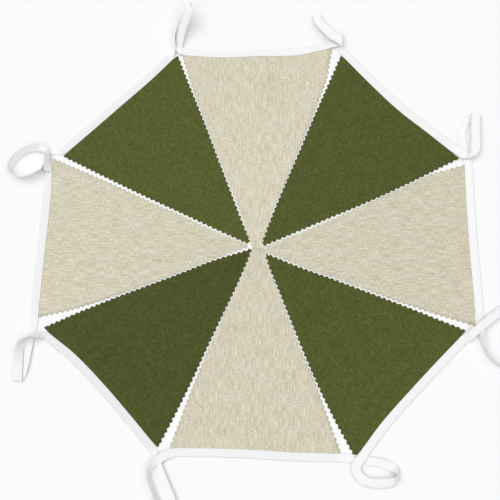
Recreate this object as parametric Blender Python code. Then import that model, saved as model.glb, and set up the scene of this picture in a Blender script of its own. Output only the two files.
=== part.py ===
"""Fabric bunting laid out flat: eight pinked pennants in a ring, tips together, on one folded tape.

All tables are in millimetres, clockwise from the top pennant: x to the right, y away, z up.
Table positions are measured from the point where the eight tips meet.
"""
import math
from collections import namedtuple

import bmesh
import bpy
from mathutils import Vector

MM = 0.001
TIPS_MEET = Vector((4.03, -1.02, 0.0))  # where the tips meet, from the middle of the outline

CLOTH = 1.0            # thickness of a pennant
GAP = 0.3              # clearance between separate pieces
FREE_GAP = 0.5         # clearance beside the tape where a pennant's edge isn't held
TAPE_PLY = 0.6         # one side of the folded tape where a pennant is sewn in
TAPE_LOOSE = 1.0       # the folded tape on its own, in the loops
SLOT = CLOTH + 2 * GAP
TAPE_SEWN = SLOT + 2 * TAPE_PLY
SLOT_DEPTH = 6.2       # how far the fold takes in a pennant's edge
TONGUE = 5.7           # how far the pennant's edge reaches into the fold
TONGUE_INSET = 3.5     # how much shorter than the open fold the held edge is, at each end
TAPE_FOLD = 0.4        # rounding of the tape's folded edge
SEWN_SPANS = 9         # straight lengths of tape along a pennant

TOOTH_PITCH = 5.4      # pinking
TOOTH_DEPTH = 2.0
REST_RUN = 13.0        # length over which a pennant drops from the fold to the table

LOOP_STEPS = 2         # smoothing steps between two rows of a loop
SMOOTH_ANGLE = 40.0

COLOURS = {            # linear base colour, roughness
    "natural_linen": ((0.66, 0.61, 0.48), 0.95),
    "olive_cotton": ((0.086, 0.108, 0.030), 0.92),
    "white_tape": ((0.90, 0.90, 0.90), 0.85),
}

# start, end: corners at the tape; sag: how far the tape bows in at each quarter;
# tip_start, tip_end: corners of the blunt tip; bows: how far each long side bows out;
# tape: width of the tape that shows; open: where the fold opens, from each corner
Pennant = namedtuple("Pennant", "name cloth start end sag tip_start tip_end bows tape open")
PENNANTS = (
    Pennant("flag_1_linen", "natural_linen", (-79.2, 204.4), (79.8, 210.2), (4.2, 4.8, 6.0),
            (-2.7, 0.6), (-0.2, 0.6), (0.5, 0.5), 7.6, (2.5, 8.0)),
    Pennant("flag_2_green", "olive_cotton", (85.9, 201.3), (205.2, 89.0), (3.5, 4.6, 1.8),
            (4.9, 7.4), (9.1, 2.3), (0.5, 0.0), 8.2, (3.0, 17.0)),
    Pennant("flag_3_linen", "natural_linen", (207.3, 85.2), (212.5, -75.9), (0.8, 1.0, 0.4),
            (8.2, -0.9), (8.6, -3.6), (0.8, 1.1), 8.8, (3.0, 13.0)),
    Pennant("flag_4_green", "olive_cotton", (201.9, -82.3), (95.8, -200.3), (1.6, 2.7, 2.9),
            (9.8, -7.1), (8.7, -11.2), (0.7, 3.7), 9.0, (6.0, 11.0)),
    Pennant("flag_5_linen", "natural_linen", (77.4, -198.1), (-79.6, -195.2), (-0.4, 0.6, 0.8),
            (2.2, -1.3), (-1.2, -1.3), (0.3, 2.0), 8.6, (2.5, 4.0)),
    Pennant("flag_6_green", "olive_cotton", (-94.7, -195.3), (-211.6, -82.3), (2.6, 4.7, 4.6),
            (-4.6, -2.9), (-8.4, -0.6), (1.2, 2.0), 8.2, (6.0, 6.0)),
    Pennant("flag_7_linen", "natural_linen", (-219.0, -70.9), (-212.7, 91.9), (0.3, 1.0, 1.7),
            (-11.6, 1.0), (-11.8, 2.0), (1.5, -0.3), 8.0, (2.5, 13.0)),
    Pennant("flag_8_green", "olive_cotton", (-201.9, 96.1), (-84.8, 205.1), (0.6, 1.0, 1.4),
            (-12.2, 4.6), (-8.1, 8.0), (0.5, 0.0), 7.4, (4.0, 10.0)),
)

# soft rucks near the tape: place along the edge, half width, length and height
Ruck = namedtuple("Ruck", "name along half length height")
RUCKS = (
    Ruck("flag_1_linen", 0.56, 13.0, 45.0, 1.3),
    Ruck("flag_6_green", 0.62, 15.0, 40.0, 2.4),
    Ruck("flag_6_green", 0.83, 10.0, 26.0, 1.6),
)

# one row for each turn of the free tape: middle of the tape, clear height below it,
# direction of its sewn edge (azimuth, elevation in degrees) and width
Row = namedtuple("Row", "x y clear azimuth elevation width")
FIRST_END = (
    Row(246.0, -54.5, 0.2, 126, 3, 8.8),
    Row(237.5, -61.0, 1.2, 127, 2, 8.8),
    Row(229.5, -66.5, 2.4, 128, 0, 8.8),
    Row(223.0, -72.0, 2.8, 129, 0, 8.8),
    Row(215.0, -78.8, 2.5, 130, 0, 8.8),
    Row(208.2, -84.8, 1.5, 131, 0, 8.8),
)
LAST_END = (
    Row(216.9, -75.5, 0.0, 182, 0, 8.8),
    Row(217.2, -83.0, 0.0, 188, 0, 8.6),
    Row(218.0, -89.5, 0.0, 196, 6, 8.6),
    Row(219.8, -96.5, 0.0, 206, 36, 8.6),
    Row(222.7, -103.5, 0.0, 218, 62, 8.6),
    Row(228.5, -110.0, 0.0, 242, 66, 8.6),
    Row(236.5, -113.5, 0.0, 260, 60, 8.6),
    Row(244.5, -114.5, 0.0, 268, 52, 8.6),
)
LOOPS = {
    "flag_4_green": (
        Row(102.8, -199.2, 1.7, 138, 0, 9.0),
        Row(99.0, -203.6, 1.9, 141, 0, 9.0),
        Row(96.5, -208.5, 1.9, 160, 0, 9.0),
        Row(97.0, -214.5, 1.6, 190, 2, 9.0),
        Row(101.5, -220.0, 1.0, 224, 4, 9.0),
        Row(109.0, -223.6, 0.6, 252, 10, 8.8),
        Row(118.0, -224.3, 0.4, 268, 16, 8.8),
        Row(127.0, -223.5, 0.6, 276, 28, 8.6),
        Row(133.5, -220.5, 0.9, 300, 52, 8.6),
        Row(136.5, -215.5, 1.2, 348, 66, 8.6),
        Row(134.5, -211.5, 1.2, 408, 50, 8.6),
        Row(129.0, -209.8, 1.0, 432, 24, 8.8),
        Row(120.5, -208.4, 0.5, 440, 6, 9.0),
        Row(112.0, -207.0, 0.0, 444, 0, 8.8),
        Row(104.0, -205.9, 0.0, 446, 0, 8.6),
        Row(95.0, -205.3, 0.0, 447, 0, 8.6),
        Row(86.0, -203.6, 0.0, 448, 0, 8.6),
    ),
    "flag_5_linen": (
        Row(-86.5, -202.0, 1.7, 112, 0, 8.6),
        Row(-94.0, -207.0, 1.9, 128, 8, 8.6),
        Row(-99.5, -212.5, 1.7, 150, 42, 8.6),
        Row(-101.5, -220.0, 0.9, 184, 62, 8.6),
        Row(-98.5, -230.0, 0.5, 196, 66, 8.6),
        Row(-94.5, -239.5, 0.4, 200, 68, 8.6),
        Row(-89.0, -247.0, 0.4, 220, 66, 8.6),
        Row(-82.5, -249.5, 0.4, 268, 54, 8.6),
        Row(-77.0, -247.0, 0.3, 328, 34, 8.8),
        Row(-77.0, -241.0, 0.2, 370, 12, 9.0),
        Row(-81.5, -232.0, 0.0, 381, 2, 9.2),
        Row(-87.0, -221.0, 0.0, 385, 0, 9.2),
        Row(-93.0, -208.5, 0.0, 392, 0, 8.8),
        Row(-97.6, -199.4, 0.0, 402, 0, 8.4),
    ),
    "flag_6_green": (
        Row(-214.3, -87.0, 0.8, 62, 0, 8.4),
        Row(-219.5, -86.4, 1.8, 86, 0, 8.6),
        Row(-225.2, -88.2, 2.0, 102, 2, 8.6),
        Row(-230.6, -92.3, 1.9, 124, 8, 8.8),
        Row(-234.2, -99.0, 1.8, 152, 12, 9.0),
        Row(-235.2, -107.0, 1.7, 176, 8, 9.2),
        Row(-235.2, -116.0, 1.7, 180, 6, 9.2),
        Row(-236.0, -124.5, 1.6, 182, 20, 9.0),
        Row(-234.5, -130.5, 1.0, 222, 50, 8.6),
        Row(-229.5, -132.5, 0.8, 284, 62, 8.6),
        Row(-225.5, -128.0, 0.4, 334, 40, 8.6),
        Row(-225.4, -118.0, 0.0, 350, 8, 8.6),
        Row(-225.4, -106.0, 0.0, 354, 0, 8.6),
        Row(-224.2, -95.0, 0.0, 354, 0, 8.6),
        Row(-223.2, -81.0, 0.0, 356, 0, 8.4),
    ),
    "flag_7_linen": (
        Row(-216.8, 84.5, 1.6, -2, 0, 8.0),
        Row(-216.9, 91.0, 1.9, 2, 0, 8.2),
        Row(-217.8, 97.0, 2.0, 14, 16, 8.4),
        Row(-220.4, 101.5, 2.0, 34, 40, 8.6),
        Row(-225.0, 104.6, 1.6, 64, 60, 8.6),
        Row(-232.5, 105.0, 1.2, 94, 68, 8.6),
        Row(-241.5, 102.3, 0.8, 114, 70, 8.6),
        Row(-249.5, 96.5, 0.6, 134, 68, 8.6),
        Row(-254.5, 88.0, 0.6, 168, 66, 8.6),
        Row(-252.5, 79.5, 0.6, 204, 68, 8.6),
        Row(-246.0, 74.5, 0.6, 246, 70, 8.6),
        Row(-238.0, 74.0, 0.4, 276, 62, 8.6),
        Row(-231.5, 77.6, 0.2, 302, 34, 8.6),
        Row(-226.0, 84.0, 0.0, 308, 4, 8.0),
        Row(-220.6, 90.8, 0.0, 309, 0, 7.4),
        Row(-214.2, 96.2, 0.0, 314, 0, 7.4),
        Row(-207.6, 99.2, 0.0, 308, 0, 7.4),
    ),
    "flag_8_green": (
        Row(-94.4, 206.0, 0.2, 344, 24, 8.0),
        Row(-95.3, 213.5, 0.5, 352, 50, 8.4),
        Row(-94.0, 224.0, 2.5, 350, 58, 8.6),
        Row(-90.5, 233.0, 6.0, 326, 60, 8.6),
        Row(-84.5, 242.0, 9.5, 314, 62, 8.6),
        Row(-79.0, 248.3, 12.2, 300, 60, 8.6),
        Row(-75.4, 251.6, 13.8, 272, 58, 8.6),
        Row(-71.8, 251.4, 14.2, 226, 50, 8.6),
        Row(-71.2, 246.6, 13.2, 190, 34, 8.6),
        Row(-74.0, 239.4, 10.2, 172, 20, 8.6),
        Row(-79.0, 229.5, 5.6, 172, 12, 9.0),
        Row(-83.0, 222.0, 2.8, 182, 6, 9.4),
        Row(-85.0, 215.6, 1.2, 212, 0, 9.0),
        Row(-83.2, 210.2, 0.2, 246, 0, 8.2),
    ),
    "flag_1_linen": (
        Row(77.4, 214.0, 1.7, 270, 0, 7.8),
        Row(81.5, 215.1, 2.0, 288, 0, 8.2),
        Row(84.6, 216.2, 2.0, 284, 0, 8.4),
        Row(86.6, 216.9, 2.4, 272, 0, 8.6),
        Row(87.1, 217.2, 3.4, 266, 0, 8.6),
        Row(86.4, 217.6, 4.5, 257, 0, 8.6),
        Row(84.0, 218.6, 4.9, 247, 0, 8.6),
        Row(79.5, 220.8, 4.8, 234, 0, 8.6),
        Row(74.5, 224.0, 4.6, 224, 0, 8.6),
        Row(69.5, 228.2, 4.4, 218, 0, 8.6),
        Row(64.2, 236.0, 3.8, 212, 0, 8.6),
        Row(60.3, 242.2, 3.1, 212, 0, 8.6),
        Row(58.4, 245.4, 2.7, 214, 0, 8.6),
        Row(58.1, 245.8, 1.8, 216, 0, 8.6),
        Row(58.7, 245.2, 0.9, 218, 0, 8.6),
        Row(61.2, 242.6, 0.4, 220, 0, 8.6),
        Row(66.0, 237.6, 0.1, 220, 0, 8.6),
        Row(71.4, 231.2, 0.0, 216, 0, 8.6),
        Row(77.0, 223.6, 0.0, 214, 0, 8.4),
        Row(82.6, 215.4, 0.0, 212, 0, 8.4),
        Row(86.6, 208.0, 0.0, 214, 0, 8.2),
    ),
    "flag_2_green": (
        Row(199.3, 100.3, 1.7, 227, 0, 8.2),
        Row(203.6, 96.1, 1.8, 225, 0, 8.2),
        Row(207.8, 92.2, 2.1, 216, 0, 8.6),
        Row(210.0, 90.4, 2.2, 205, 0, 9.0),
        Row(211.1, 89.5, 2.6, 199, 0, 9.2),
        Row(211.4, 89.2, 3.6, 197, 0, 9.2),
        Row(211.6, 89.7, 4.7, 195, 0, 9.2),
        Row(212.2, 92.0, 5.2, 190, 0, 9.0),
        Row(213.8, 97.5, 5.5, 183, 0, 8.6),
        Row(215.8, 105.5, 5.9, 181, 4, 8.8),
        Row(216.8, 115.0, 6.2, 180, 4, 8.8),
        Row(216.8, 124.5, 5.7, 180, 2, 8.6),
        Row(216.5, 130.2, 4.9, 180, 0, 8.6),
        Row(216.2, 132.6, 4.0, 172, 0, 8.6),
        Row(215.9, 133.2, 2.9, 169, 0, 8.6),
        Row(215.3, 132.2, 1.8, 166, 0, 8.6),
        Row(213.6, 129.2, 1.0, 161, 0, 8.6),
        Row(210.2, 123.5, 0.4, 158, 0, 8.6),
        Row(207.6, 117.0, 0.0, 164, 0, 8.6),
        Row(206.4, 110.0, 0.0, 174, 0, 8.6),
        Row(207.2, 102.5, 0.0, 184, 0, 8.6),
        Row(209.2, 95.0, 0.0, 187, 0, 8.6),
        Row(211.1, 88.0, 0.0, 184, 0, 8.6),
    ),
}

Station = namedtuple("Station", "middle across width thick sewn")


def through(values, place):
    """Smooth curve through evenly spaced values, place running from 0 to 1."""
    spans = len(values) - 1
    at = min(int(place * spans), spans - 1)
    t = place * spans - at
    before = values[max(at - 1, 0)]
    first, second = values[at], values[at + 1]
    after = values[min(at + 2, spans)]
    return 0.5 * (
        2 * first
        + (second - before) * t
        + (2 * before - 5 * first + 4 * second - after) * t ** 2
        + (3 * first - before - 3 * second + after) * t ** 3
    )


def flat(point):
    return Vector((point[0], point[1], 0.0))


def inward_of(pennant):
    """Unit direction from the tape towards the tip."""
    along = (flat(pennant.end) - flat(pennant.start)).normalized()
    return Vector((along.y, -along.x, 0.0))


def tape_edge(pennant, place):
    """Sewn edge of the tape along a pennant, place running from 0 to 1."""
    sag = through((0.0,) + pennant.sag + (0.0,), place)
    chord = flat(pennant.start).lerp(flat(pennant.end), place)
    return chord + inward_of(pennant) * sag


def held_places(pennant, inset):
    """Evenly spaced places along the part of the edge that the fold holds."""
    chord = (flat(pennant.end) - flat(pennant.start)).length
    first = (pennant.open[0] + inset) / chord
    last = 1 - (pennant.open[1] + inset) / chord
    return [first + (last - first) * step / SEWN_SPANS for step in range(SEWN_SPANS + 1)]


def pinked_side(tip, corner, bow, outward_turn):
    """Zigzag from the tip to the corner at the tape."""
    run = corner - tip
    outward = Vector((-run.y, run.x, 0.0)).normalized() * outward_turn
    halves = 2 * round(run.length / TOOTH_PITCH)
    points = []
    for step in range(halves):
        place = step / halves
        tooth = TOOTH_DEPTH / 2 * (1 if step % 2 == 0 else -1)
        points.append(tip + run * place + outward * (4 * bow * place * (1 - place) + tooth))
    return points


def pennant_outline(pennant):
    """Tip, first long side, edge held in the tape, second long side."""
    inward = inward_of(pennant)
    places = held_places(pennant, TONGUE_INSET)
    corners = [tape_edge(pennant, place) + inward * FREE_GAP for place in (0.0, places[0], places[-1], 1.0)]
    held = [tape_edge(pennant, place) - inward * TONGUE for place in places]
    first = pinked_side(flat(pennant.tip_start), corners[0], pennant.bows[0], 1)
    second = pinked_side(flat(pennant.tip_end), corners[3], pennant.bows[1], -1)
    return first + corners[:2] + held + corners[2:] + second[::-1]


def cut_across(bm, point, direction, faces):
    edges = {edge for face in faces for edge in face.edges}
    verts = {vert for face in faces for vert in face.verts}
    geometry = [*faces, *edges, *verts]
    bmesh.ops.bisect_plane(bm, geom=geometry, dist=1e-7, plane_co=point, plane_no=direction)


def finish(bm, name, cloth):
    mesh = bpy.data.meshes.new(name)
    bmesh.ops.triangulate(bm, faces=bm.faces)
    bmesh.ops.recalc_face_normals(bm, faces=bm.faces)
    bmesh.ops.scale(bm, vec=(MM, MM, MM), verts=bm.verts)
    bm.to_mesh(mesh)
    bm.free()
    mesh.materials.append(bpy.data.materials[cloth])
    mesh.shade_smooth()
    mesh.set_sharp_from_angle(angle=math.radians(SMOOTH_ANGLE))
    piece = bpy.data.objects.new(name, mesh)
    bpy.context.scene.collection.objects.link(piece)


def make_pennant(pennant):
    outline = pennant_outline(pennant)
    start, inward = flat(pennant.start), inward_of(pennant)
    run = flat(pennant.end) - start
    along = run.normalized()
    rucks = [ruck for ruck in RUCKS if ruck.name == pennant.name]
    held = max(pennant.sag) + GAP + 1.0

    bm = bmesh.new()
    bmesh.ops.create_circle(bm, cap_ends=True, segments=len(outline), radius=1.0)
    for vert, point in zip(bm.verts, outline):
        vert.co = point

    for depth in (held, held + REST_RUN):
        cut_across(bm, start + inward * depth, inward, list(bm.faces))
    for ruck in rucks:
        for share in (0.3, 0.65, 1.0):
            cut_across(bm, start + inward * (held + ruck.length * share), inward, list(bm.faces))
        for share in (-1.0, -0.5, 0.0, 0.5, 1.0):
            near = [
                face for face in bm.faces
                if held < (face.calc_center_median() - start).dot(inward) < held + ruck.length
            ]
            middle = start + run * ruck.along + along * ruck.half * share
            cut_across(bm, middle, along, near)

    for vert in bm.verts:
        depth = (vert.co - start).dot(inward)
        height = (CLOTH - GAP / 3) * min(max((held + REST_RUN - depth) / REST_RUN, 0.0), 1.0)
        for ruck in rucks:
            side = (vert.co - start - run * ruck.along).dot(along) / ruck.half
            reach = (depth - held) / ruck.length
            if abs(side) < 1.0 and 0.0 < reach < 1.0:
                height += ruck.height * (1 - side ** 2) * math.sin(math.pi * reach)
        vert.co.z = height

    bmesh.ops.triangulate(bm, faces=bm.faces)
    upper = bmesh.ops.extrude_face_region(bm, geom=bm.faces, use_keep_orig=True)["geom"]
    raised = [part for part in upper if isinstance(part, bmesh.types.BMVert)]
    bmesh.ops.translate(bm, vec=(0.0, 0.0, CLOTH), verts=raised)
    bmesh.ops.translate(bm, vec=TIPS_MEET, verts=bm.verts)
    finish(bm, pennant.name, pennant.cloth)


def sewn_stations(pennant):
    """The tape where it holds a pennant: a flat fold, open towards the tip."""
    inward = inward_of(pennant)
    stations = []
    for place in held_places(pennant, 0.0):
        middle = tape_edge(pennant, place) - inward * pennant.tape / 2
        middle.z = TAPE_SEWN / 2
        stations.append(Station(middle, inward, pennant.tape, TAPE_SEWN, True))
    return stations


def loose_stations(rows):
    stations = []
    for row in rows:
        azimuth, elevation = math.radians(row.azimuth), math.radians(row.elevation)
        across = Vector((
            math.cos(azimuth) * math.cos(elevation),
            math.sin(azimuth) * math.cos(elevation),
            math.sin(elevation),
        ))
        below = abs(across.z) * row.width / 2 + math.cos(elevation) * TAPE_LOOSE / 2
        middle = Vector((row.x, row.y, row.clear + below))
        stations.append(Station(middle, across, row.width, TAPE_LOOSE, False))
    return stations


def smoothed(stations):
    """Extra stations wherever the tape runs free."""
    smooth = []
    last = len(stations) - 1
    for index, station in enumerate(stations):
        smooth.append(station)
        if index == last or (station.sewn and stations[index + 1].sewn):
            continue
        near = [stations[min(max(index + offset, 0), last)] for offset in (-1, 0, 1, 2)]
        for step in range(1, LOOP_STEPS):
            place = (1 + step / LOOP_STEPS) / 3
            values = [through([getattr(s, field) for s in near], place)
                      for field in ("middle", "across", "width", "thick")]
            smooth.append(Station(*values, False))
    return smooth


def section(station, heading):
    """Ten points around the folded tape, none below the table; unsewn, the slot closes up."""
    across = station.across.normalized()
    up = across.cross(heading).normalized()
    half, thick = station.width / 2, station.thick / 2
    depth, slot = (SLOT_DEPTH, SLOT / 2) if station.sewn else (0.0, 0.0)
    profile = (
        (half, -thick),
        (TAPE_FOLD - half, -thick),
        (-half, TAPE_FOLD - thick),
        (-half, thick - TAPE_FOLD),
        (TAPE_FOLD - half, thick),
        (half, thick),
        (half, slot),
        (half - depth, slot),
        (half - depth, -slot),
        (half, -slot),
    )
    ring = [station.middle + across * a + up * b for a, b in profile]
    sunk = min(min(point.z for point in ring), 0.0)
    return [point - Vector((0.0, 0.0, sunk)) for point in ring]


def make_tape():
    stations = loose_stations(FIRST_END)
    for pennant in PENNANTS[3:] + PENNANTS[:3]:
        stations += sewn_stations(pennant)
        stations += loose_stations(LOOPS.get(pennant.name, LAST_END))
    stations = smoothed(stations)
    last = len(stations) - 1

    rings = []
    for index, station in enumerate(stations):
        before, after = stations[max(index - 1, 0)], stations[min(index + 1, last)]
        rings.append(section(station, (after.middle - before.middle).normalized()))
    around = len(rings[0])

    bm = bmesh.new()
    bmesh.ops.create_grid(bm, x_segments=last, y_segments=around, size=0.5)
    for vert in bm.verts:
        ring = rings[round((vert.co.x + 0.5) * last)]
        vert.co = ring[round((vert.co.y + 0.5) * around) % around]
    bmesh.ops.remove_doubles(bm, verts=bm.verts, dist=1e-3)
    rims = [edge for edge in bm.edges if edge.is_boundary]
    bmesh.ops.holes_fill(bm, edges=rims, sides=around)
    bmesh.ops.translate(bm, vec=TIPS_MEET, verts=bm.verts)
    finish(bm, "binding_tape", "white_tape")


def make_materials():
    for name, (colour, roughness) in COLOURS.items():
        material = bpy.data.materials.new(name)
        material.use_nodes = True
        shader = material.node_tree.nodes["Principled BSDF"]
        shader.inputs["Base Color"].default_value = (*colour, 1.0)
        shader.inputs["Roughness"].default_value = roughness
        shader.inputs["Metallic"].default_value = 0.0


def main():
    for piece in list(bpy.data.objects):
        bpy.data.objects.remove(piece)
    make_materials()
    for pennant in PENNANTS:
        make_pennant(pennant)
    make_tape()


main()
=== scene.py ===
"""Looks of a fabric bunting laid out flat: eight pinked pennants in a ring on one folded white tape.

All tables are in millimetres: x to the right, y away, z up. Places are measured from the point where
the eight tips meet. Pennants are counted clockwise from the top one; the tape runs clockwise from its
end at the lower right.
"""
import math
from collections import namedtuple

import bmesh
import bpy
from mathutils import Matrix, Vector, noise


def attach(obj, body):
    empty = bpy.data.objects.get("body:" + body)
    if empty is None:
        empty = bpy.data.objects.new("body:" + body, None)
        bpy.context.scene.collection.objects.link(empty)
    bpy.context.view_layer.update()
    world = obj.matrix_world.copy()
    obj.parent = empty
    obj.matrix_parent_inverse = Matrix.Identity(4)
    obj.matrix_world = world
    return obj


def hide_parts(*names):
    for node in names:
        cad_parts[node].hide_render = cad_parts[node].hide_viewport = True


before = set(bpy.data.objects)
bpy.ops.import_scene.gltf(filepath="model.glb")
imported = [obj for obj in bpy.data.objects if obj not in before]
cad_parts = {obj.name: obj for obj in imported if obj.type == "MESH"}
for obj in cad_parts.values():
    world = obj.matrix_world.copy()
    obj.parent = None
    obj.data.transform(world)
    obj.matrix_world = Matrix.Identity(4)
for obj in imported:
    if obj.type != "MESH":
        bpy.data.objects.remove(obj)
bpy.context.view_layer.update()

MM = 0.001
TIPS_MEET = Vector((4.03, -1.02, 0.0))  # where the tips meet, from the middle of the outline

CLOTH = 0.45           # thickness of a pennant
CLOTH_REST = 0.28      # height of its middle where it lies on the table
TAPE_PLY = 0.4         # one side of the folded tape
SEWN_GAP = 0.55        # between the plies where they hold a pennant
LOOSE_GAP = 0.1        # between the plies in the loops
TONGUE = 5.7           # how far the pennant's edge reaches into the fold
TONGUE_INSET = 1.5     # how much shorter than the open fold the held edge is, at each end
FREE_GAP = 0.4         # clearance beside the tape where a pennant's edge isn't held
DROP_DEPTH = 1.0       # how far past the deepest bow of the tape a pennant starts to drop
REST_RUN = 13.0        # length over which it drops from the fold to the table
SLACK_DEPTH = 2.0      # how far past the bow the cloth's own slack starts
SLACK_RUN = 20.0       # length over which the slack grows
SLACK_LIFT = 0.12      # how much of the slack stays off the table
SLACK_NOISE = 7.0      # how far apart the noise of two pennants' slack lies

TOOTH_PITCH = 5.4      # pinking
TOOTH_DEPTH = 2.1
TOOTH_UNEVEN = 0.22    # how much the teeth differ in depth
TOOTH_CHANGE = 0.9     # how fast the depth changes from tooth to tooth
TOOTH_NOISE = 10.0     # how far apart the noise of two pennants' teeth lies
SIDE_NOISE = 3.0       # how far apart that of a pennant's two sides lies
ROWS_A_TOOTH = 8       # rows of faces for each tooth
COLUMNS = 44           # columns of faces across a pennant
TONGUE_ROWS = 3        # rows of faces inside the fold
BOW_FADE = 3           # how quickly the bow of the tape fades out down a pennant
CUT_APART = 300.0      # the pennants are cut this far apart from one length of cloth

SEWN_STEP = 3.0        # spacing of the tape's sections along a pennant
LOOP_STEPS = 6         # sections for each row of a loop
STITCH = 2.4           # length of a stitch
STITCH_SPACE = 0.5     # between two stitches
STITCH_INSET = 1.6     # from the tape's sewn edge to the row of stitches
THREAD = 0.34          # thickness of the thread
THREAD_SINK = 0.02     # how deep it sinks into the tape
FIRST_STITCH = 1.0     # from the tape's end to its first stitch

TAPE_CLEAR = 0.04      # the least height of the tape above the table
THREAD_CLEAR = 0.01    # the least height of a stitch
GIRTH_SECTION = 40     # the section that sets the scale of the cloth round the tape
WELD = 1e-4            # points nearer than this become one

# start, end: corners at the tape; sag: how far the tape bows in at each quarter;
# tip_start, tip_end: corners of the blunt tip; tape: width of the tape that shows;
# open: where the fold opens, from each corner
Pennant = namedtuple("Pennant", "name cloth start end sag tip_start tip_end tape open")
PENNANTS = (
    Pennant("flag_1_linen", "natural_linen", (-79.2, 203.7), (79.8, 209.5), (4.2, 4.8, 6.0),
            (-4.6, -0.3), (5.6, -1.1), 8.3, (2.5, 8.0)),
    Pennant("flag_2_green", "olive_cotton", (86.0, 201.6), (204.7, 88.5), (2.7, 4.2, 1.8),
            (5.1, 5.0), (7.6, 2.0), 8.8, (3.6, 17.0)),
    Pennant("flag_3_linen", "natural_linen", (207.3, 85.2), (212.5, -75.9), (0.8, 1.0, 0.4),
            (6.9, 0.3), (7.4, -4.0), 8.3, (3.0, 13.0)),
    Pennant("flag_4_green", "olive_cotton", (201.9, -82.3), (95.8, -200.3), (1.6, 2.7, 2.9),
            (8.8, -6.2), (8.0, -8.8), 8.4, (6.0, 11.0)),
    Pennant("flag_5_linen", "natural_linen", (77.4, -198.1), (-79.6, -195.2), (-0.4, 0.6, 0.8),
            (6.6, -1.5), (-4.7, -0.6), 8.2, (2.5, 4.0)),
    Pennant("flag_6_green", "olive_cotton", (-94.6, -195.2), (-211.5, -82.2), (2.6, 4.7, 4.6),
            (-5.2, -3.4), (-7.2, -1.8), 8.4, (6.0, 6.0)),
    Pennant("flag_7_linen", "natural_linen", (-218.5, -70.9), (-212.2, 91.9), (0.3, 1.0, 1.7),
            (-9.6, 0.6), (-9.4, 2.4), 8.4, (2.5, 13.0)),
    Pennant("flag_8_green", "olive_cotton", (-201.5, 95.7), (-84.0, 205.3), (0.6, 1.0, 1.4),
            (-10.2, 4.2), (-7.4, 6.4), 8.2, (4.0, 10.7)),
)

# how far each pinked side bulges out of the straight line from tip to corner, at every sixth of it
Side = namedtuple("Side", "tip sixth third half two_thirds five_sixths corner")
SIDES = {
    ("flag_1_linen", "start"): Side(0.0, -1.1, 0.1, 0.8, 1.2, 2.0, 0.2),
    ("flag_1_linen", "end"): Side(0.0, -3.7, -1.5, 0.1, 1.7, 2.2, -2.8),
    ("flag_2_green", "start"): Side(0.0, 1.3, 1.3, 1.0, 1.0, 0.4, -0.2),
    ("flag_2_green", "end"): Side(0.0, 0.3, 0.5, 1.0, 0.5, -1.1, -2.8),
    ("flag_3_linen", "start"): Side(0.0, -0.9, -0.7, -0.1, 1.0, 2.4, -1.6),
    ("flag_3_linen", "end"): Side(0.0, 1.6, 2.0, 2.5, 3.0, 2.5, 1.0),
    ("flag_4_green", "start"): Side(0.0, -0.5, 0.5, 0.9, 1.3, 1.2, 0.9),
    ("flag_4_green", "end"): Side(0.0, 1.6, 3.4, 4.9, 5.4, 4.2, 1.9),
    ("flag_5_linen", "start"): Side(0.0, -1.1, -0.4, 0.7, 2.9, 3.0, 3.1),
    ("flag_5_linen", "end"): Side(0.0, -1.1, 1.4, 3.2, 3.9, 3.3, 2.8),
    ("flag_6_green", "start"): Side(0.0, 1.4, 1.3, 1.5, 1.9, 1.4, 0.1),
    ("flag_6_green", "end"): Side(0.0, 2.6, 2.6, 3.0, 3.4, 2.8, 1.3),
    ("flag_7_linen", "start"): Side(0.0, 0.5, 2.1, 3.3, 3.9, 3.2, -0.4),
    ("flag_7_linen", "end"): Side(0.0, -0.5, 0.3, 0.5, 1.1, 1.1, 1.0),
    ("flag_8_green", "start"): Side(0.0, 0.6, 0.7, 1.1, 1.0, 0.5, -0.1),
    ("flag_8_green", "end"): Side(0.0, -0.3, -0.3, -0.3, -0.3, -1.0, -1.4),
}

# how light each pennant's cloth is painted at the tape and at its tip, the tape along it and the loop
# after it:
# partly the cloth's own tone, partly painted light for light falling off across the table; the loops are
# painted lighter
Shade = namedtuple("Shade", "cloth tip tape loop")
TONE_AND_PAINTED_LIGHT = {
    "flag_1_linen": Shade(1.00, 1.03, 1.00, 1.03),
    "flag_2_green": Shade(0.97, 1.00, 0.98, 1.03),
    "flag_3_linen": Shade(0.95, 0.97, 1.02, 1.00),
    "flag_4_green": Shade(1.04, 0.95, 0.985, 1.02),
    "flag_5_linen": Shade(0.985, 0.98, 0.975, 1.00),
    "flag_6_green": Shade(0.87, 0.81, 0.92, 1.00),
    "flag_7_linen": Shade(1.00, 0.97, 0.965, 1.03),
    "flag_8_green": Shade(1.07, 1.10, 0.95, 1.04),
}

# soft rucks near the tape: place along the edge, half width, length and height
Ruck = namedtuple("Ruck", "name along half length height")
RUCKS = (
    Ruck("flag_1_linen", 0.54, 9.0, 56.0, 3.4),
    Ruck("flag_6_green", 0.41, 9.0, 32.0, 2.8),
    Ruck("flag_6_green", 0.64, 11.0, 42.0, 4.4),
    Ruck("flag_6_green", 0.80, 9.0, 36.0, 3.4),
    Ruck("flag_6_green", 0.90, 8.0, 26.0, 2.4),
)

# the cloth's own slack: height of its waves, how fast they change in a millimetre, and which noise
Wave = namedtuple("Wave", "height change noise")
WAVES = (
    Wave(0.35, 0.022, 0.0),
    Wave(0.10, 0.07, 5.0),
)

# the upper ply of the tape, across it: distance from the sewn edge, the stitches or the fold,
# and how far it lies below its top
Dip = namedtuple("Dip", "distance below")
CUT_LIP = 0.15         # height of the sewn edge's lower lip, over the inside of the ply
CUT_EDGE = (Dip(0.06, 0.12), Dip(0.30, 0.01), Dip(0.9, 0.0))
STITCH_DIP = 0.13      # how far the stitches draw the ply down
STITCH_GROOVE = (Dip(-0.2, 0.08), Dip(0.0, STITCH_DIP), Dip(0.2, 0.08), Dip(0.8, 0.0))
CROWN = 0.03           # how much the ply swells in its middle
PRESSED_FOLD = (Dip(2.2, 0.0), Dip(1.0, 0.10))

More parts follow.
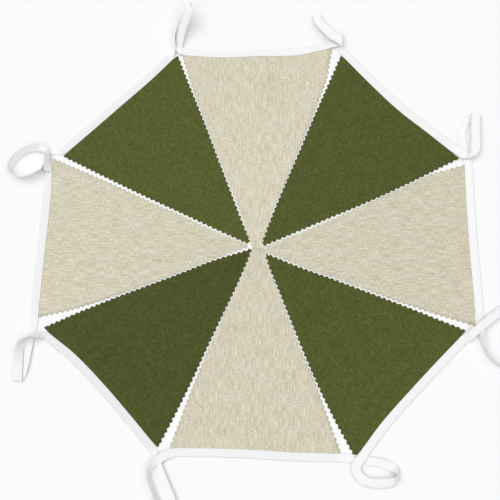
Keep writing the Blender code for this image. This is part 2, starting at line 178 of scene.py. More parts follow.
# the fold of the tape: distance from its outside, and height as a share of the ply's top or inside
Bend = namedtuple("Bend", "distance share")
FOLD_OUTSIDE = (Bend(0.35, 0.62), Bend(0.08, 0.28))
FOLD_INSIDE = (Bend(0.45, 0.0), Bend(0.75, 0.8), Bend(2.0, 1.0))
LINING_INSET = 0.05    # how far the inside of the ply stops short of the sewn edge

# one row for each turn of the free tape: middle of the tape, clear height below it,
# direction of its sewn edge (azimuth, elevation in degrees) and width
Row = namedtuple("Row", "x y clear azimuth elevation width")
FIRST_END = (
    Row(247.4, -54.8, 0.2, 128, 2, 8.2),
    Row(236.2, -62.7, 1.6, 129, 2, 8.1),
    Row(227.0, -69.1, 3.0, 130, 0, 8.0),
    Row(219.2, -75.1, 4.0, 130, 0, 7.9),
    Row(212.8, -80.4, 4.2, 130, 0, 7.9),
    Row(207.6, -84.8, 3.2, 131, 0, 8.0),
    Row(203.4, -88.6, 1.6, 131, 0, 8.4),
)
LAST_END = (
    Row(216.0, -69.7, 0.0, 183, 0, 8.6),
    Row(215.8, -76.0, 0.0, 186, -6, 8.6),
    Row(215.7, -81.3, 0.0, 191, -30, 8.6),
    Row(216.1, -87.1, 0.0, 198, -62, 8.6),
    Row(217.5, -95.2, 0.0, 207, -79, 8.6),
    Row(220.8, -103.5, 0.0, 221, -82, 8.6),
    Row(226.8, -110.4, 0.0, 238, -82, 8.6),
    Row(233.6, -114.8, 0.0, 252, -80, 8.6),
    Row(241.5, -117.2, 0.0, 262, -74, 8.6),
)
# the loop after each pennant
LOOPS = {
    "flag_4_green": (
        Row(102.3, -199.5, 1.7, 139, 0, 9.0),
        Row(98.6, -203.8, 1.9, 141, 0, 9.0),
        Row(95.6, -208.2, 1.9, 158, 0, 8.8),
        Row(95.4, -213.8, 1.8, 190, -2, 8.8),
        Row(99.1, -219.6, 1.6, 226, -6, 8.8),
        Row(105.4, -223.4, 1.4, 252, -10, 8.8),
        Row(113.4, -224.4, 1.3, 267, -12, 8.8),
        Row(121.7, -224.2, 1.3, 270, -12, 8.8),
        Row(128.2, -223.3, 1.2, 276, -22, 8.8),
        Row(132.9, -220.3, 0.8, 312, -52, 8.6),
        Row(134.4, -215.9, 0.5, 352, -70, 8.6),
        Row(132.9, -212.3, 0.5, 392, -48, 8.6),
        Row(129.5, -209.8, 0.4, 428, -10, 8.6),
        Row(123.2, -207.6, 0.3, 436, 6, 8.6),
        Row(115.3, -205.7, 0.1, 440, 10, 8.6),
        Row(107.4, -204.8, 0.0, 443, 6, 8.6),
        Row(99.5, -203.8, 0.0, 447, 0, 8.6),
        Row(91.0, -202.9, 0.0, 449, 0, 8.6),
        Row(83.0, -202.4, 0.0, 449, 0, 8.6),
    ),
    "flag_5_linen": (
        Row(-86.5, -202.0, 1.7, 112, 0, 8.6),
        Row(-94.0, -207.0, 1.9, 128, 8, 8.6),
        Row(-99.5, -212.5, 1.7, 150, 42, 8.6),
        Row(-101.5, -220.0, 0.9, 184, 62, 8.6),
        Row(-98.5, -230.0, 0.5, 196, 66, 8.6),
        Row(-94.5, -239.5, 0.4, 200, 68, 8.6),
        Row(-89.0, -247.0, 0.4, 220, 66, 8.6),
        Row(-82.5, -249.5, 0.4, 268, 54, 8.6),
        Row(-79.0, -247.0, 0.3, 328, 34, 8.8),
        Row(-80.0, -241.0, 0.2, 370, 22, 9.0),
        Row(-84.5, -232.0, 0.0, 379, 18, 9.0),
        Row(-89.6, -221.0, 0.0, 383, 18, 9.0),
        Row(-94.6, -209.5, 0.0, 391, 12, 8.8),
        Row(-98.0, -200.2, 0.0, 402, 0, 8.4),
    ),
    "flag_6_green": (
        Row(-213.0, -89.6, 0.9, 60, -16, 8.4),
        Row(-216.2, -88.5, 1.6, 76, -46, 8.6),
        Row(-220.9, -88.4, 1.6, 92, -72, 8.6),
        Row(-226.6, -90.4, 1.7, 60, -84, 8.6),
        Row(-232.1, -94.3, 1.7, -12, -62, 8.6),
        Row(-234.7, -100.4, 1.7, -6, -46, 8.6),
        Row(-235.1, -108.2, 1.7, -3, -28, 8.8),
        Row(-235.2, -116.5, 1.8, -2, -12, 9.0),
        Row(-235.4, -123.8, 2.0, -3, 0, 9.0),
        Row(-235.7, -132.0, 2.1, -5, 0, 10.2),
        Row(-235.8, -132.7, 1.8, -5, 0, 10.2),
        Row(-235.8, -133.0, 1.1, -5, 0, 10.2),
        Row(-235.8, -132.7, 0.4, -5, 0, 10.2),
        Row(-235.7, -132.0, 0.1, -5, 0, 10.2),
        Row(-232.1, -127.9, 0.0, -12, 6, 9.0),
        Row(-229.2, -117.0, 0.0, -13, 10, 8.8),
        Row(-227.4, -105.7, 0.0, -12, 12, 8.6),
        Row(-225.9, -94.8, 0.0, -10, 6, 8.6),
        Row(-224.1, -84.4, 0.0, -7, 0, 8.4),
        Row(-222.7, -75.5, 0.0, -4, 0, 8.4),
    ),
    "flag_7_linen": (
        Row(-216.3, 80.5, 0.6, -2, -24, 8.2),
        Row(-216.4, 85.9, 0.9, -2, -46, 8.4),
        Row(-216.6, 91.5, 1.2, 0, -58, 8.4),
        Row(-217.4, 97.2, 1.6, 8, -56, 8.4),
        Row(-220.1, 102.2, 1.9, 34, -20, 8.4),
        Row(-224.5, 104.1, 1.7, 68, 20, 8.6),
        Row(-230.1, 104.1, 1.2, 90, 38, 8.6),
        Row(-237.5, 102.4, 0.8, 106, 42, 8.6),
        Row(-245.7, 98.1, 0.5, 122, 44, 8.6),
        Row(-252.6, 91.2, 0.3, 142, 48, 8.6),
        Row(-255.3, 83.5, 0.3, 174, 62, 8.6),
        Row(-253.7, 77.4, 0.3, 222, 78, 8.6),
        Row(-247.4, 73.8, 0.3, 258, 85, 8.6),
        Row(-239.5, 72.5, 0.3, 276, 88, 8.6),
        Row(-231.8, 74.9, 0.3, 292, 88, 8.6),
        Row(-225.3, 78.7, 0.3, 302, 82, 8.6),
        Row(-221.5, 83.5, 0.2, 322, 66, 8.6),
        Row(-221.0, 89.8, 0.1, 344, 50, 8.4),
        Row(-220.9, 95.7, 0.1, 348, 28, 8.0),
        Row(-218.9, 99.4, 0.0, 326, 8, 7.6),
        Row(-214.1, 100.8, 0.0, 306, 0, 7.6),
        Row(-208.3, 100.4, 0.0, 311, 0, 7.8),
    ),
    "flag_8_green": (
        Row(-92.3, 204.4, 0.0, 318, 2, 8.2),
        Row(-90.6, 209.4, 0.0, 328, 14, 8.4),
        Row(-90.1, 214.2, 0.2, 342, 34, 8.6),
        Row(-90.0, 219.8, 0.4, 350, 50, 8.6),
        Row(-89.2, 225.6, 1.2, 346, 54, 8.6),
        Row(-87.0, 232.5, 2.8, 340, 55, 8.6),
        Row(-83.9, 239.2, 5.4, 336, 56, 8.6),
        Row(-80.3, 245.7, 8.0, 335, 50, 8.6),
        Row(-76.9, 251.7, 10.8, 334, 36, 8.6),
        Row(-74.0, 255.2, 13.0, 327, 0, 9.7),
        Row(-73.4, 256.1, 13.4, 327, 0, 9.7),
        Row(-73.2, 256.4, 14.4, 327, 0, 9.7),
        Row(-73.4, 256.1, 15.4, 327, 0, 9.7),
        Row(-74.0, 255.2, 15.8, 327, 0, 9.7),
        Row(-71.8, 249.4, 15.0, 338, -2, 8.6),
        Row(-73.6, 244.1, 13.4, 342, -4, 8.6),
        Row(-76.0, 237.8, 10.6, 343, -4, 8.6),
        Row(-79.1, 231.1, 7.4, 345, -4, 8.6),
        Row(-81.5, 224.8, 4.6, 347, -2, 8.6),
        Row(-83.1, 218.7, 2.2, 349, 2, 8.8),
        Row(-84.6, 213.9, 0.5, 340, 2, 9.2),
        Row(-85.4, 209.3, 0.0, 313, 0, 13.0),
        Row(-85.8, 208.9, 0.2, 313, 0, 13.0),
        Row(-86.0, 208.7, 0.9, 313, 0, 13.0),
        Row(-85.8, 208.9, 1.5, 313, 0, 13.0),
        Row(-85.4, 209.3, 1.7, 313, 0, 13.0),
        Row(-82.8, 209.5, 1.6, 284, 0, 8.8),
    ),
    "flag_1_linen": (
        Row(75.1, 213.5, 1.0, 276, 0, 7.8),
        Row(79.2, 214.4, 1.8, 284, 0, 8.2),
        Row(83.2, 216.0, 2.0, 284, 0, 9.4),
        Row(85.5, 216.9, 2.2, 266, 0, 14.1),
        Row(86.7, 216.8, 2.7, 266, 0, 14.1),
        Row(87.2, 216.8, 3.9, 266, 0, 14.1),
        Row(86.7, 216.8, 5.1, 266, 0, 14.1),
        Row(85.5, 216.9, 5.6, 266, 0, 14.1),
        Row(82.5, 217.5, 6.2, 252, 0, 9.2),
        Row(76.8, 220.7, 6.6, 236, 0, 8.8),
        Row(70.7, 227.0, 6.4, 226, 0, 8.6),
        Row(65.2, 233.8, 5.6, 222, 0, 8.6),
        Row(61.7, 239.2, 4.6, 216, 0, 8.4),
        Row(60.8, 244.0, 3.8, 208, 0, 8.3),
        Row(60.3, 244.9, 3.4, 208, 0, 8.3),
        Row(60.1, 245.3, 2.3, 208, 0, 8.3),
        Row(60.3, 244.9, 1.2, 208, 0, 8.3),
        Row(60.8, 244.0, 0.8, 208, 0, 8.3),
        Row(62.3, 242.4, 0.6, 213, 0, 8.6),
        Row(67.5, 235.8, 0.1, 216, 0, 8.6),
        Row(72.9, 228.0, 0.0, 217, 0, 8.6),
        Row(78.4, 219.7, 0.0, 217, 0, 8.6),
        Row(84.1, 211.2, 0.0, 220, 0, 8.6),
    ),
    "flag_2_green": (
        Row(199.6, 98.9, 1.7, 227, 0, 8.4),
        Row(204.6, 95.1, 1.9, 224, 0, 8.6),
        Row(209.4, 92.1, 2.1, 214, 0, 9.0),
        Row(215.4, 92.5, 2.2, 206, 0, 10.2),
        Row(215.8, 91.7, 2.6, 206, 0, 10.2),
        Row(216.0, 91.4, 3.4, 206, 0, 10.2),
        Row(215.8, 91.7, 4.2, 206, 0, 10.2),
        Row(215.4, 92.5, 4.6, 206, 0, 10.2),
        Row(217.6, 97.2, 4.8, 190, 0, 9.0),
        Row(218.2, 103.3, 4.9, 182, 0, 8.8),
        Row(218.5, 112.0, 5.0, 180, 0, 8.8),
        Row(218.9, 121.4, 4.9, 180, 0, 8.8),
        Row(219.3, 130.0, 4.4, 180, 0, 8.8),
        Row(220.1, 134.8, 4.0, 179, 0, 8.6),
        Row(220.1, 135.9, 3.6, 179, 0, 8.6),
        Row(220.1, 136.3, 2.5, 179, 0, 8.6),
        Row(220.1, 135.9, 1.4, 179, 0, 8.6),
        Row(220.1, 134.8, 1.0, 179, 0, 8.6),
        Row(217.4, 134.2, 0.8, 168, 0, 8.8),
        Row(212.5, 130.4, 0.4, 162, 0, 8.6),
        Row(208.4, 124.3, 0.0, 165, 0, 8.4),
        Row(205.9, 116.4, 0.0, 175, 0, 8.2),
        Row(205.6, 108.0, 0.0, 185, 0, 8.2),
        Row(207.7, 99.7, 0.0, 193, 0, 8.4),
        Row(210.3, 91.3, 0.0, 188, 0, 8.4),
    ),
}

# strength, angle in degrees and direction of each light
Light = namedtuple("Light", "name energy angle towards")
LIGHTS = (
    Light("overhead", 2.0, 110, (0.0, 0.0, 1.0)),
    Light("window", 0.62, 38, (-0.80, 0.62, 0.95)),
)
ROOM = 0.36            # strength of the pale room all round

CAMERA_PLACE = (0.03453, -0.11169, 0.69058)  # in metres, from the middle of the outline
CAMERA_LEAN = (8.9, 3.07)                    # in degrees, to the front and to the right
SENSOR = 36.0                                # width of the camera's sensor
LENS = 50.4                                  # focal length
TABLE_HALF = 2.5                             # half of the table's side, in metres

# one section of the tape: its middle, direction of its sewn edge, width, gap between the plies, shade
# (painted light)
Station = namedtuple("Station", "middle across width gap shade")


# ---- camera, table and light ----

def make_camera():
    """Almost overhead, 0.7 m away, leaning a little to the front and the right."""
    lens = bpy.data.cameras.new("camera")
    lens.sensor_width = SENSOR
    lens.lens = LENS
    camera = bpy.data.objects.new("camera", lens)
    front, right = [math.radians(angle) for angle in CAMERA_LEAN]
    turned = Matrix.Rotation(front, 4, "X") @ Matrix.Rotation(right, 4, "Y")
    camera.matrix_world = Matrix.Translation(CAMERA_PLACE) @ turned
    bpy.context.scene.collection.objects.link(camera)
    bpy.context.scene.camera = camera


def make_table(material):
    """The plain board that the bunting lies on."""
    bm = bmesh.new()
    bmesh.ops.create_grid(bm, x_segments=1, y_segments=1, size=TABLE_HALF)
    table = finish(bm, "table", material, scale=1.0)


def make_light():
    """A wide soft light straight above, a weak window from the upper left and a pale room all round."""
    for light in LIGHTS:
        sun = bpy.data.lights.new(light.name, "SUN")
        sun.energy = light.energy
        sun.angle = math.radians(light.angle)
        lamp = bpy.data.objects.new(light.name, sun)
        lamp.rotation_euler = Vector(light.towards).to_track_quat("Z", "Y").to_euler()
        bpy.context.scene.collection.objects.link(lamp)
    world = bpy.data.worlds.new("pale_room")
    world.use_nodes = True
    world.node_tree.nodes["Background"].inputs["Color"].default_value = (1.0, 1.0, 1.0, 1.0)
    world.node_tree.nodes["Background"].inputs["Strength"].default_value = ROOM
    bpy.context.scene.world = world
    bpy.context.scene.view_settings.view_transform = "Standard"


# ---- materials ----

def linear(colour):
    """An sRGB hex colour as linear red, green, blue and alpha."""
    parts = [int(colour[at:at + 2], 16) / 255 for at in (1, 3, 5)]
    return (*[p / 12.92 if p <= 0.04045 else ((p + 0.055) / 1.055) ** 2.4 for p in parts], 1.0)


def add(tree, kind, inputs, **settings):
    """A new node with its settings, and its inputs set to values or joined to other nodes' outputs."""
    made = tree.nodes.new("ShaderNode" + kind)
    for name, value in settings.items():
        setattr(made, name, value)
    for key, value in inputs.items():
        if isinstance(value, bpy.types.NodeSocket):
            tree.links.new(value, made.inputs[key])
        else:
            made.inputs[key].default_value = value
    return made


def cloth_material(name):
    """A new material with its tree, its shader and the cloth's own flat coordinates in metres."""
    material = bpy.data.materials.new(name)
    material.use_nodes = True
    tree = material.node_tree
    flat_cloth = add(tree, "UVMap", {}, uv_map="cloth").outputs["UV"]
    return material, tree, tree.nodes["Principled BSDF"], flat_cloth


def threads(tree, flat_cloth, across, along, detail):
    """Uneven threads: noise stretched to how wide a thick place is and how far it runs on, in
    millimetres across and along the cloth."""
    scale = (1 / (across * MM), 1 / (along * MM), 1.0)
    stretched = add(tree, "Mapping", {"Vector": flat_cloth, "Scale": scale})
    return add(tree, "TexNoise", {"Vector": stretched.outputs[0], "Scale": 1.0, "Detail": detail},
               noise_dimensions="2D").outputs["Fac"]


def weave(tree, flat_cloth, spacing):
    """Plain weave: each thread goes over one and under the next. The height runs from -1 to 1."""
    rate = math.pi / (spacing * MM)
    turned = add(tree, "Mapping", {"Vector": flat_cloth, "Scale": (rate, rate, 1.0)})
    parts = add(tree, "SeparateXYZ", {0: turned.outputs[0]})
    warp = add(tree, "Math", {0: parts.outputs[0]}, operation="SINE")
    weft = add(tree, "Math", {0: parts.outputs[1]}, operation="SINE")
    return add(tree, "Math", {0: warp.outputs[0], 1: weft.outputs[0]}, operation="MULTIPLY").outputs[0]


def lightness(tree, patterns):
    """How light the cloth is: its shade attribute, partly its own tone and partly painted light, moved up
    and down by a share of it along each pattern.
    A pattern gives its noise, how far the noise strays from a half, and the share."""
    light = add(tree, "Attribute", {}, attribute_name="shade").outputs["Fac"]
    for pattern, stray, share in patterns:
        moved = add(tree, "MapRange", {"Value": pattern, "From Min": 0.5 - stray, "From Max": 0.5 + stray,
                                       "To Min": 1 - share, "To Max": 1 + share})
        light = add(tree, "Math", {0: light, 1: moved.outputs[0]}, operation="MULTIPLY").outputs[0]
    return light


def colour_cloth(tree, shader, pattern, first, second, light):
    """The cloth's colour: from one tone to a second along a pattern, lighter or darker by light."""
    tint = add(tree, "Mix", {"Factor": pattern, 6: linear(first), 7: linear(second)}, data_type="RGBA")
    colour = add(tree, "VectorMath", {0: tint.outputs[2], "Scale": light}, operation="SCALE")
    tree.links.new(colour.outputs[0], shader.inputs["Base Color"])


def raise_threads(tree, shader, over_under, share, uneven, strength, height):
    """Relief of the threads: uneven ones, and a share of going over and under. Height in millimetres."""
    relief = add(tree, "Math", {0: over_under, 1: share, 2: uneven}, operation="MULTIPLY_ADD")
    bump = add(tree, "Bump", {"Height": relief.outputs[0], "Strength": strength, "Distance": height * MM})
    tree.links.new(bump.outputs[0], shader.inputs["Normal"])


def linen_material():
    """Natural half-linen, plain woven and unbleached: pale oatmeal, with thick and thin threads that
    show as fine streaks mostly along the pennant, and no shine."""
    material, tree, shader, flat_cloth = cloth_material("natural_linen_plain_weave")
    # real threads are 0.6 mm apart; the slubs are drawn 0.8 mm wide so that they show
    warp = threads(tree, flat_cloth, 0.8, 11.0, 1.0)
    weft = threads(tree, flat_cloth, 4.5, 0.8, 1.0)
    patches = threads(tree, flat_cloth, 9.0, 14.0, 2.0)
    light = lightness(tree, ((warp, 0.25, 0.155), (weft, 0.25, 0.14), (patches, 0.2, 0.025)))
    colour_cloth(tree, shader, patches, "#CBC3AA", "#C9C6B4", light)
    raise_threads(tree, shader, weave(tree, flat_cloth, 0.9), 0.35, warp, 0.5, 0.12)
    shader.inputs["Roughness"].default_value = 0.9
    shader.inputs["Specular IOR Level"].default_value = 0.2
    shader.inputs["Sheen Weight"].default_value = 0.06
    shader.inputs["Sheen Roughness"].default_value = 0.5
    return material


def cotton_material():
    """Olive green dyed cotton, plain woven: a deep matt green with a fine grain, a little lighter and
    yellower where the dye took less."""
    material, tree, shader, flat_cloth = cloth_material("olive_cotton_dyed")
    # real threads are 0.5 mm apart; the grain is drawn 1.1 mm wide so that it shows
    grain = threads(tree, flat_cloth, 1.1, 1.7, 2.0)
    streak = threads(tree, flat_cloth, 1.2, 9.0, 1.0)
    worn = threads(tree, flat_cloth, 3.8, 4.6, 2.0)
    patches = threads(tree, flat_cloth, 14.0, 18.0, 2.0)
    light = lightness(tree, (
        (grain, 0.25, 0.32),
        (streak, 0.25, 0.07),
        (worn, 0.25, 0.11),
        (patches, 0.25, 0.05),
    ))
    colour_cloth(tree, shader, worn, "#485326", "#535528", light)
    raise_threads(tree, shader, weave(tree, flat_cloth, 0.8), 0.4, grain, 0.5, 0.1)
    shader.inputs["Roughness"].default_value = 0.88
    shader.inputs["Specular IOR Level"].default_value = 0.15
    shader.inputs["Sheen Weight"].default_value = 0.04
    shader.inputs["Sheen Roughness"].default_value = 0.5
    return material


def tape_material():
    """Bleached cotton tape, closely woven and pressed: a clean slightly cool white with a faint rib."""
    material, tree, shader, flat_cloth = cloth_material("white_cotton_tape")
    rib = threads(tree, flat_cloth, 1.2, 0.6, 1.0)
    light = lightness(tree, ((rib, 0.25, 0.015),))
    colour_cloth(tree, shader, rib, "#E8E8E9", "#EAEAEA", light)
    raise_threads(tree, shader, weave(tree, flat_cloth, 0.7), 0.5, rib, 0.4, 0.06)
    shader.inputs["Roughness"].default_value = 0.85
    shader.inputs["Specular IOR Level"].default_value = 0.25
    return material


def thread_material():
    """White polyester sewing thread, twisted: a little shinier than the tape, with its twist as
    fine light and dark places 0.4 mm apart."""
    material = bpy.data.materials.new("white_sewing_thread")
    material.use_nodes = True
    tree, shader = material.node_tree, material.node_tree.nodes["Principled BSDF"]
    place = add(tree, "TexCoord", {}).outputs["Object"]
    scale = 1 / (0.4 * MM)
    twist = add(tree, "TexNoise", {"Vector": place, "Scale": scale, "Detail": 1.0}).outputs["Fac"]
    colour = add(tree, "Mix", {"Factor": twist, 6: linear("#D8D8DA"), 7: linear("#EEEEEF")},
                 data_type="RGBA")
    tree.links.new(colour.outputs[2], shader.inputs["Base Color"])
    shader.inputs["Roughness"].default_value = 0.55
    return material


def table_material():
    """Matt white board under the bunting."""
    material = bpy.data.materials.new("matt_white_board")
    material.use_nodes = True
    shader = material.node_tree.nodes["Principled BSDF"]
    shader.inputs["Base Color"].default_value = linear("#EDEDED")
    shader.inputs["Roughness"].default_value = 0.9
    shader.inputs["Specular IOR Level"].default_value = 0.1
    return material


# ---- shared shapes ----

def finish(bm, name, material, scale=MM):
    """The finished mesh as a piece, in metres, with its material."""
    mesh = bpy.data.meshes.new(name)
    bmesh.ops.scale(bm, vec=(scale, scale, scale), verts=bm.verts)
    bm.to_mesh(mesh)
    bm.free()
    mesh.materials.append(material)
    mesh.shade_smooth()
    piece = bpy.data.objects.new(name, mesh)
    bpy.context.scene.collection.objects.link(piece)
    return piece


def through(values, place):
    """Smooth curve through evenly spaced values, place running from 0 to 1."""
    spans = len(values) - 1
    at = min(int(place * spans), spans - 1)
    t = place * spans - at
    before = values[max(at - 1, 0)]
    first, second = values[at], values[at + 1]
    after = values[min(at + 2, spans)]
    return 0.5 * (
        2 * first
        + (second - before) * t
        + (2 * before - 5 * first + 4 * second - after) * t ** 2
        + (3 * first - before - 3 * second + after) * t ** 3
    )


def eased(value):
    """0 to 1 with a soft start and end."""
    held = min(max(value, 0.0), 1.0)
    return held * held * (3 - 2 * held)


def flat(point):
    """A place given as x and y, at the height of the table top."""
    return Vector((point[0], point[1], 0.0))


def inward_of(pennant):
    """Unit direction from the tape towards the tip."""
    along = (flat(pennant.end) - flat(pennant.start)).normalized()
    return Vector((along.y, -along.x, 0.0))


def bow(pennant, place):
    """How far the tape bows in along a pennant, place running from 0 to 1."""
    return through((0.0, *pennant.sag, 0.0), place)


def tape_edge(pennant, place):
    """Sewn edge of the tape along a pennant, place running from 0 to 1."""
    chord = flat(pennant.start).lerp(flat(pennant.end), place)
    return chord + inward_of(pennant) * bow(pennant, place)


# ---- pennants ----

def pinked_side(pennant, side, tip, corner, rows, seed):
    """Points down a pinked long side, from the tip to the corner at the tape. Side 0 is the start,
    side 1 the end; teeth are counted from where the tips meet, so that neighbours interlock."""
    bulges = SIDES[pennant.name, ("start", "end")[side]]
    run = corner - tip
    outward = Vector((-run.y, run.x, 0.0)).normalized() * (1 - 2 * side)
    sideways = (flat(pennant.start) - flat(pennant.end)).normalized() * (1 - 2 * side)
    points = []
    for row in range(rows + 1):
        place = row / rows
        line = tip + run * place + sideways * through(bulges, place) / outward.dot(sideways)
        teeth = line.dot(run.normalized()) / TOOTH_PITCH + side / 2
        uneven = 1 + TOOTH_UNEVEN * noise.noise(Vector((teeth * TOOTH_CHANGE, seed, 0.0)))
        fade = min((1 - place) * run.length / TOOTH_PITCH, 1.0)
        tooth = TOOTH_DEPTH * fade * uneven * (abs(2 * (teeth % 1.0) - 1) - 0.5)
        points.append(line + outward * tooth)
    return points


def cloth_height(pennant, point, seed):
    """Height of the cloth's middle: held in the tape, then down to the table, with its rucks."""
    start, inward = flat(pennant.start), inward_of(pennant)
    run = flat(pennant.end) - start
    along = run.normalized()
    depth = (point - start).dot(inward) - max(pennant.sag)
    held = TAPE_PLY + SEWN_GAP / 2
    height = CLOTH_REST + (held - CLOTH_REST) * eased(1 - (depth - DROP_DEPTH) / REST_RUN)
    for ruck in RUCKS:
        side = (point - start - run * ruck.along).dot(along) / ruck.half
        reach = (depth - DROP_DEPTH) / ruck.length
        if ruck.name == pennant.name and abs(side) < 1.0 and 0.0 < reach < 1.0:
            height += ruck.height * math.cos(side * math.pi / 2) ** 2 * math.sin(math.pi * reach)
    slack = SLACK_LIFT
    for wave in WAVES:
        place = Vector((point.x * wave.change, point.y * wave.change, seed + wave.noise))
        slack += wave.height * noise.noise(place)
    return height + max(0.0, slack) * eased((depth - SLACK_DEPTH) / SLACK_RUN)


def make_pennant(pennant, material, number):
    """One pennant: its pinked sides, its edge bowed along the tape and the tongue inside the fold."""
    start, inward = flat(pennant.start), inward_of(pennant)
    along = (flat(pennant.end) - start).normalized()
    tips = flat(pennant.tip_start), flat(pennant.tip_end)
    corners = [tape_edge(pennant, place) + inward * FREE_GAP for place in (0.0, 1.0)]
    rows = ROWS_A_TOOTH * round((corners[0] - tips[0]).length / TOOTH_PITCH)
    seeds = [TOOTH_NOISE * number + SIDE_NOISE * side for side in (0, 1)]
    first, second = [pinked_side(pennant, side, tips[side], corners[side], rows, seeds[side])
                     for side in (0, 1)]
    chord = (flat(pennant.end) - start).length
    inset = [(gap + TONGUE_INSET) / chord for gap in pennant.open]
    lit = TONE_AND_PAINTED_LIGHT[pennant.name]
    spans = rows + TONGUE_ROWS + 1

    bm = bmesh.new()
    uv = bm.loops.layers.uv.new("cloth")
    shade = bm.verts.layers.float.new("shade")
    bmesh.ops.create_grid(bm, x_segments=COLUMNS, y_segments=spans, size=0.5)
    for vert in bm.verts:
        across = vert.co.x + 0.5
        row = round((vert.co.y + 0.5) * spans)
        if row <= rows:
            bend = bow(pennant, across) * (row / rows) ** BOW_FADE
            point = first[row].lerp(second[row], across) + inward * bend
        else:
            place = inset[0] + (1 - inset[0] - inset[1]) * across
            depth = TONGUE * (row - rows - 1) / TONGUE_ROWS
            point = tape_edge(pennant, place) - inward * depth
        vert.co = point
        vert.co.z = cloth_height(pennant, point, SLACK_NOISE * number)
        # the cloth's shade runs from its tip to the tape: partly its own tone, partly painted light
        vert[shade] = lit.tip + (lit.cloth - lit.tip) * min(row / rows, 1.0)
    for face in bm.faces:
        for loop in face.loops:
            side = loop.vert.co - start
            loop[uv].uv = ((side.dot(along) + CUT_APART * number) * MM, side.dot(inward) * MM)
    bmesh.ops.recalc_face_normals(bm, faces=bm.faces)
    if sum(face.normal.z for face in bm.faces) < 0:
        bmesh.ops.reverse_faces(bm, faces=bm.faces)
    area = sum(face.calc_area() for face in bm.faces) * MM * MM
    bmesh.ops.translate(bm, vec=TIPS_MEET, verts=bm.verts)
    piece = finish(bm, "cloth_" + pennant.name, material)
    body = piece.modifiers.new("thickness", "SOLIDIFY")
    body.thickness = CLOTH * MM
    body.offset = 0.0
    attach(piece, "root")
    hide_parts(pennant.name)


# ---- tape ----

def below_middle(across, width, thick):
    """How far a tilted section of the tape reaches below its middle."""
    return abs(across.z) * width / 2 + math.sqrt(max(1 - across.z ** 2, 0.0)) * thick / 2


def sewn_stations(pennant):
    """The tape where it holds a pennant: a flat fold, open towards the tip."""
    chord = (flat(pennant.end) - flat(pennant.start)).length
    first, last = pennant.open[0] / chord, 1 - pennant.open[1] / chord
    steps = round((last - first) * chord / SEWN_STEP)
    stations = []
    for step in range(steps + 1):
        place = first + (last - first) * step / steps
        middle = tape_edge(pennant, place) - inward_of(pennant) * pennant.tape / 2
        middle.z = TAPE_PLY + SEWN_GAP / 2
        # painted light: the tape's shade along each pennant stands for light falling off across the table
        shade = TONE_AND_PAINTED_LIGHT[pennant.name].tape
        stations.append(Station(middle, inward_of(pennant), pennant.tape, SEWN_GAP, shade))
    return stations


def loose_stations(rows, shade):
    """The tape where it runs free, one section for each row."""
    stations = []
    for row in rows:
        azimuth, elevation = math.radians(row.azimuth), math.radians(row.elevation)
        across = Vector((
            math.cos(azimuth) * math.cos(elevation),
            math.sin(azimuth) * math.cos(elevation),
            math.sin(elevation),
        ))
        height = row.clear + below_middle(across, row.width, 2 * TAPE_PLY + LOOSE_GAP)
        stations.append(Station(Vector((row.x, row.y, height)), across, row.width, LOOSE_GAP, shade))
    return stations


def smoothed(stations):
    """Extra stations wherever the tape runs free."""
    smooth = []
    last = len(stations) - 1
    for index, station in enumerate(stations):
        smooth.append(station)
        if index == last or (station.gap == SEWN_GAP and stations[index + 1].gap == SEWN_GAP):
            continue
        near = [stations[min(max(index + offset, 0), last)] for offset in (-1, 0, 1, 2)]
        for step in range(1, LOOP_STEPS):
            place = (1 + step / LOOP_STEPS) / 3
            smooth.append(Station(*[through(values, place) for values in zip(*near)]))
    return smooth


def tape_profile(half, gap):
    """Half of the folded tape's section, from the sewn edge over the top to the fold: how far
    from the middle and how high. Its stitches draw the ply down a little."""
    top = gap / 2 + TAPE_PLY
    sewn = half - STITCH_INSET
    return (
        (half, gap / 2 + CUT_LIP),
        *[(half - dip.distance, top - dip.below) for dip in CUT_EDGE],
        *[(sewn - dip.distance, top - dip.below) for dip in STITCH_GROOVE],
        (0.0, top + CROWN),
        *[(dip.distance - half, top - dip.below) for dip in PRESSED_FOLD],
        *[(bend.distance - half, top * bend.share) for bend in FOLD_OUTSIDE],
    )


def lining_profile(half, gap):
    """The inside of the fold, from its bottom to the sewn edge."""
    return (
        *[(bend.distance - half, gap / 2 * bend.share) for bend in FOLD_INSIDE],
        (half - LINING_INSET, gap / 2),
    )


def directions(stations, index):
    """Directions across the tape to its sewn edge, and out of its upper ply."""
    station = stations[index]
    before, after = stations[max(index - 1, 0)], stations[min(index + 1, len(stations) - 1)]
    heading = (after.middle - before.middle).normalized()
    across = station.across.normalized()
    return across, across.cross(heading).normalized()


def section(station, across, up):
    """Ring of points round the folded tape, lifted where it would reach into the table, and by
    how much."""
    outer = tape_profile(station.width / 2, station.gap)
    inner = lining_profile(station.width / 2, station.gap)
    profile = [*outer, *[(a, -b) for a, b in outer[::-1]]]
    profile += [(a, -b) for a, b in inner[:0:-1]] + list(inner)
    ring = [station.middle + across * a + up * b for a, b in profile]
    lift = max(TAPE_CLEAR - min(point.z for point in ring), 0.0)
    return [point + Vector((0.0, 0.0, lift)) for point in ring], lift


def tape_stations():
    """The whole tape, clockwise from its end at the lower right to the other end beside it."""
    stations = loose_stations(FIRST_END, shade=1.0)
    for pennant in PENNANTS[3:] + PENNANTS[:3]:
        stations += sewn_stations(pennant)
        # painted light: the loops are painted lighter than they shade
        stations += loose_stations(LOOPS.get(pennant.name, LAST_END), TONE_AND_PAINTED_LIGHT[pennant.name].loop)
    return smoothed(stations)


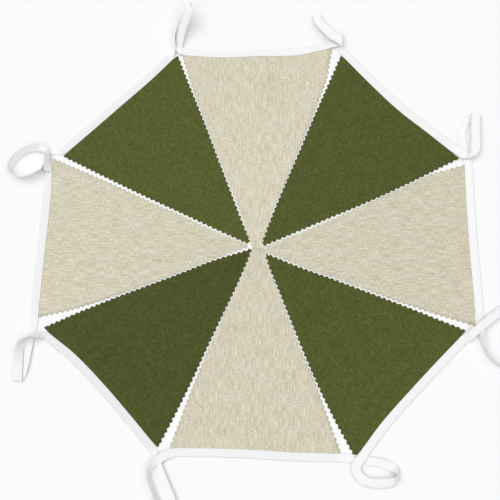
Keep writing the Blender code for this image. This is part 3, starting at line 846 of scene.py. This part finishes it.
def make_tape(stations, material):
    """The folded tape as one closed strip, and its length."""
    rings, run = [], [0.0]
    for index, station in enumerate(stations):
        across, up = directions(stations, index)
        rings.append(section(station, across, up)[0])
        if index:
            run.append(run[-1] + (station.middle - stations[index - 1].middle).length)
    around = len(rings[0])
    girth = [0.0]
    sample = rings[GIRTH_SECTION]
    for index in range(1, around + 1):
        girth.append(girth[-1] + (sample[index % around] - sample[index - 1]).length)

    last = len(stations) - 1
    bm = bmesh.new()
    uv = bm.loops.layers.uv.new("cloth")
    shade = bm.verts.layers.float.new("shade")
    bmesh.ops.create_grid(bm, x_segments=last, y_segments=around, size=0.5)
    for face in bm.faces:
        for loop in face.loops:
            along = run[round((loop.vert.co.x + 0.5) * last)]
            loop[uv].uv = (along * MM, girth[round((loop.vert.co.y + 0.5) * around)] * MM)
    for vert in bm.verts:
        at = round((vert.co.x + 0.5) * last)
        # each section's painted light goes into the tape's shade attribute
        vert[shade] = stations[at].shade
        vert.co = rings[at][round((vert.co.y + 0.5) * around) % around]
    bmesh.ops.remove_doubles(bm, verts=bm.verts, dist=WELD)
    rims = [edge for edge in bm.edges if edge.is_boundary]
    bmesh.ops.holes_fill(bm, edges=rims, sides=around)
    bmesh.ops.recalc_face_normals(bm, faces=bm.faces)
    bmesh.ops.translate(bm, vec=TIPS_MEET, verts=bm.verts)
    tape = finish(bm, "folded_tape", material)
    return tape, run[-1]


def make_stitches(stations, material):
    """One row of stitches along the tape's sewn edge, above and below."""
    line = []
    for index, station in enumerate(stations):
        across, up = directions(stations, index)
        raised = Vector((0.0, 0.0, section(station, across, up)[1]))
        place = station.middle + across * (station.width / 2 - STITCH_INSET) + raised
        line.append((place, up, station.gap / 2 + TAPE_PLY - STITCH_DIP))
    bm = bmesh.new()
    bmesh.ops.create_uvsphere(bm, u_segments=6, v_segments=4, radius=1.0,
                              matrix=Matrix.Diagonal((STITCH / 2, THREAD / 2, THREAD / 2, 1.0))
                              @ Matrix.Rotation(math.pi / 2, 4, "Y"))
    stitch = bpy.data.meshes.new("stitch")
    bm.to_mesh(stitch)
    bm.clear()
    for side in (1, -1):
        travelled, wanted = 0.0, FIRST_STITCH
        for (here, up, depth), (there, next_up, next_depth) in zip(line, line[1:]):
            span = (there - here).length
            while wanted < travelled + span:
                share = (wanted - travelled) / span
                outward = up.lerp(next_up, share).normalized() * side
                surface = depth + (next_depth - depth) * share
                place = here.lerp(there, share) + outward * (surface - THREAD_SINK)
                heading = (there - here).normalized()
                across = outward.cross(heading).normalized()
                turned = Matrix((heading, across, outward)).transposed().to_4x4()
                one = stitch.copy()
                one.transform(Matrix.Translation(place) @ turned)
                bm.from_mesh(one)
                bpy.data.meshes.remove(one)
                wanted += STITCH + STITCH_SPACE
            travelled += span
    bpy.data.meshes.remove(stitch)
    for vert in bm.verts:
        vert.co.z = max(vert.co.z, THREAD_CLEAR)
    bmesh.ops.recalc_face_normals(bm, faces=bm.faces)
    bmesh.ops.translate(bm, vec=TIPS_MEET, verts=bm.verts)
    return finish(bm, "stitching", material)


def main():
    """Stage, pennants, tape and stitches; these go under the root, and the parts that the pennants and
    tape replace are hidden.
    """
    make_camera()
    make_table(table_material())
    make_light()
    cloths = {"natural_linen": linen_material(), "olive_cotton": cotton_material()}
    for number, pennant in enumerate(PENNANTS, 1):
        make_pennant(pennant, cloths[pennant.cloth], number)
    stations = tape_stations()
    tape, length = make_tape(stations, tape_material())
    stitching = make_stitches(stations, thread_material())
    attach(tape, "root")
    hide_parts("binding_tape")
    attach(stitching, "root")


main()
